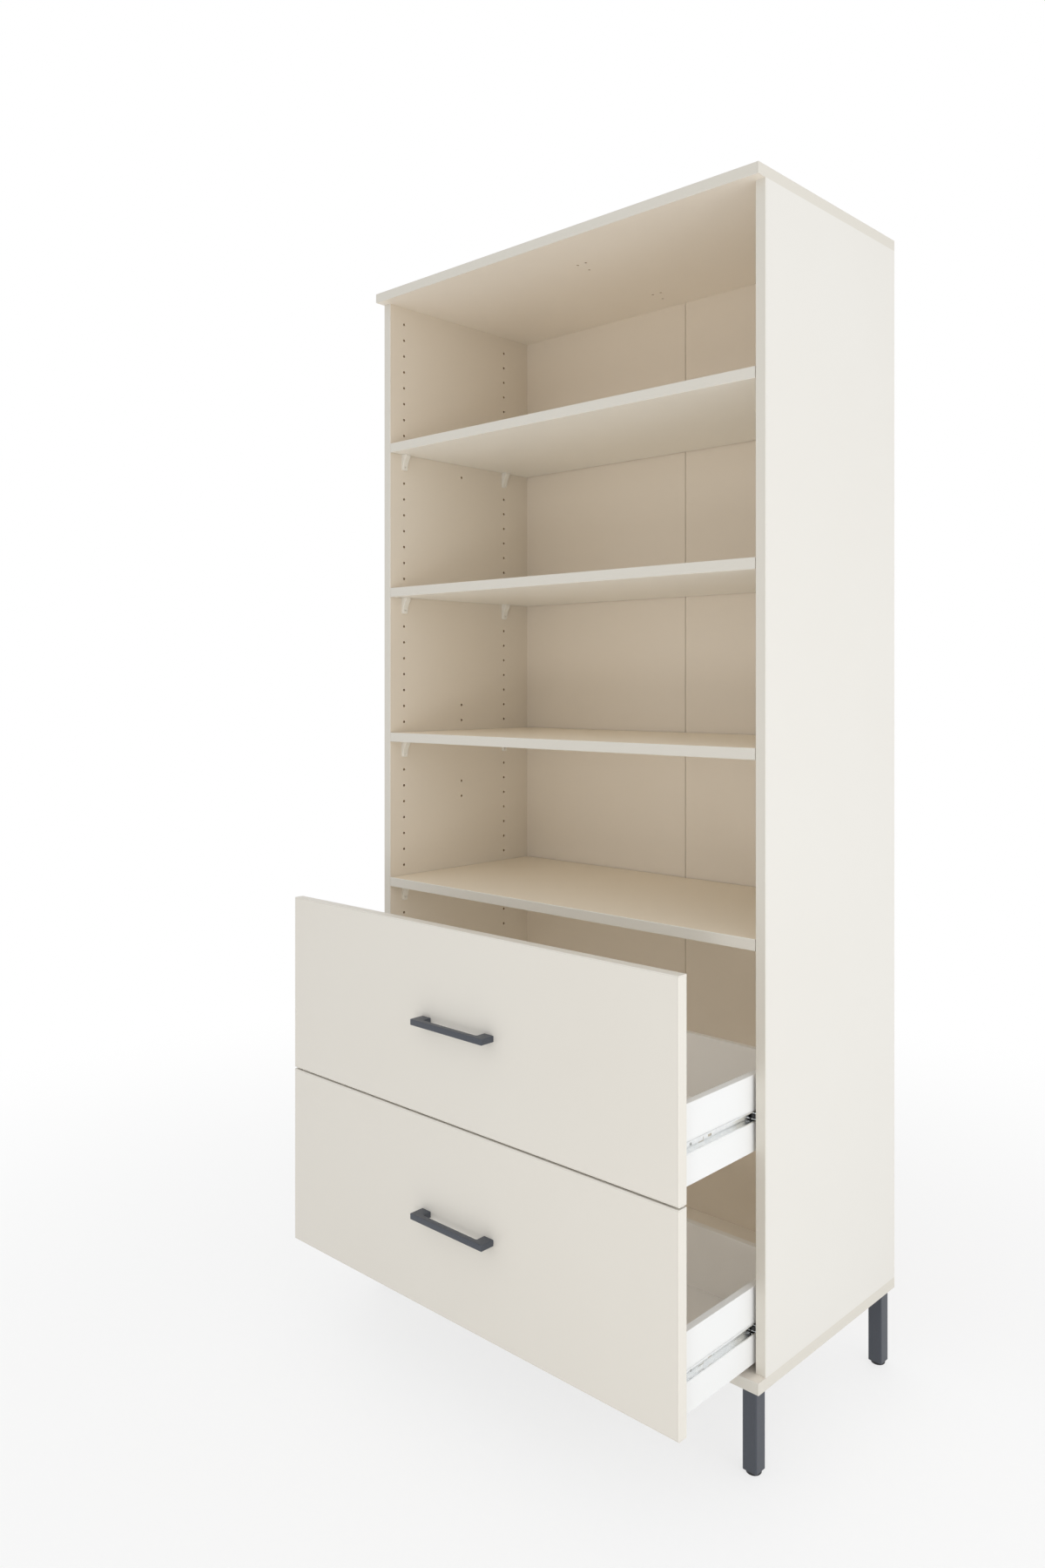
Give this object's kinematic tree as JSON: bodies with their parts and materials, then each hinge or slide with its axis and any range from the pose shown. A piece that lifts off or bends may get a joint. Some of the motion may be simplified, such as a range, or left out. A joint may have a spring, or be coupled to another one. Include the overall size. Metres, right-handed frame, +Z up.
{
  "type": "bookcase with bottom drawers",
  "caption": "Tall open bookcase with adjustable shelves on pin supports above wide drawers on ball-bearing runners, with bow handles and square metal legs.",
  "frame": {"origin": "on the floor, midway across the width and midway from the pulled-out handles to the rear edges", "axes": "+Z up, +Y to the back, +X to the right of someone who faces the front"},
  "size_m": [0.881, 0.664, 1.962],
  "materials": {
    "carcass_board": "matte off-white laminate",
    "front_board": "matte off-white laminate",
    "back_board": "matte warm white foil",
    "box_board": "satin white foil",
    "dowel_wood": "bare beech",
    "support_plastic": "matte cream",
    "black_plastic": "matte black",
    "joint_tape": "matte grey-brown",
    "dark_metal": "satin anthracite powder coat",
    "runner_steel": "bright zinc plated",
    "ball_steel": "polished",
    "screw_steel": "zinc plated"
  },
  "bodies": {
    "carcass": {"back_board_left": "back_board", "back_board_right": "back_board", "back_joint_tape": "joint_tape", "bottom_panel": "carcass_board", "carcass_dowels": "dowel_wood", "leg_front_left": "dark_metal", "leg_front_right": "dark_metal", "leg_glides": "black_plastic", "leg_rear_left": "dark_metal", "leg_rear_right": "dark_metal", "leg_screws": "screw_steel", "lower_carcass_rail_left": "runner_steel", "lower_carcass_rail_right": "runner_steel", "rail_guides": "black_plastic", "rail_screws": "screw_steel", "shelf_1": "carcass_board", "shelf_2": "carcass_board", "shelf_3": "carcass_board", "shelf_4": "carcass_board", "shelf_supports_1": "support_plastic", "shelf_supports_2": "support_plastic", "shelf_supports_3": "support_plastic", "shelf_supports_4": "support_plastic", "side_panel_left": "carcass_board", "side_panel_right": "carcass_board", "top_panel": "carcass_board", "upper_carcass_rail_left": "runner_steel", "upper_carcass_rail_right": "runner_steel"},
    "lower_drawer": {"lower_drawer_back": "box_board", "lower_drawer_bottom": "box_board", "lower_drawer_channel_left": "runner_steel", "lower_drawer_channel_right": "runner_steel", "lower_drawer_channel_screws": "screw_steel", "lower_drawer_dowels": "dowel_wood", "lower_drawer_front": "front_board", "lower_drawer_handle": "dark_metal", "lower_drawer_handle_screws": "screw_steel", "lower_drawer_side_left": "box_board", "lower_drawer_side_right": "box_board"},
    "lower_cages": {"lower_ball_cages": "runner_steel", "lower_cage_balls": "ball_steel"},
    "upper_drawer": {"upper_drawer_back": "box_board", "upper_drawer_bottom": "box_board", "upper_drawer_channel_left": "runner_steel", "upper_drawer_channel_right": "runner_steel", "upper_drawer_channel_screws": "screw_steel", "upper_drawer_dowels": "dowel_wood", "upper_drawer_front": "front_board", "upper_drawer_handle": "dark_metal", "upper_drawer_handle_screws": "screw_steel", "upper_drawer_side_left": "box_board", "upper_drawer_side_right": "box_board"},
    "upper_cages": {"upper_ball_cages": "runner_steel", "upper_cage_balls": "ball_steel"}
  },
  "joints": [
    {"name": "lower_drawer_slide", "type": "slide", "parent": "carcass", "child": "lower_drawer", "axis": [0, -1, 0], "range_m": [-0.198, 0.03]},
    {"name": "lower_cage_roll", "type": "slide", "parent": "carcass", "child": "lower_cages", "axis": [0, -1, 0], "range_m": [-0.099, 0.015]},
    {"name": "upper_drawer_slide", "type": "slide", "parent": "carcass", "child": "upper_drawer", "axis": [0, -1, 0], "range_m": [-0.198, 0.03]},
    {"name": "upper_cage_roll", "type": "slide", "parent": "carcass", "child": "upper_cages", "axis": [0, -1, 0], "range_m": [-0.099, 0.015]}
  ],
  "couplings": [
    {"joint": "lower_cage_roll", "follows": "lower_drawer_slide", "ratio": 0.5},
    {"joint": "upper_cage_roll", "follows": "upper_drawer_slide", "ratio": 0.5}
  ]
}
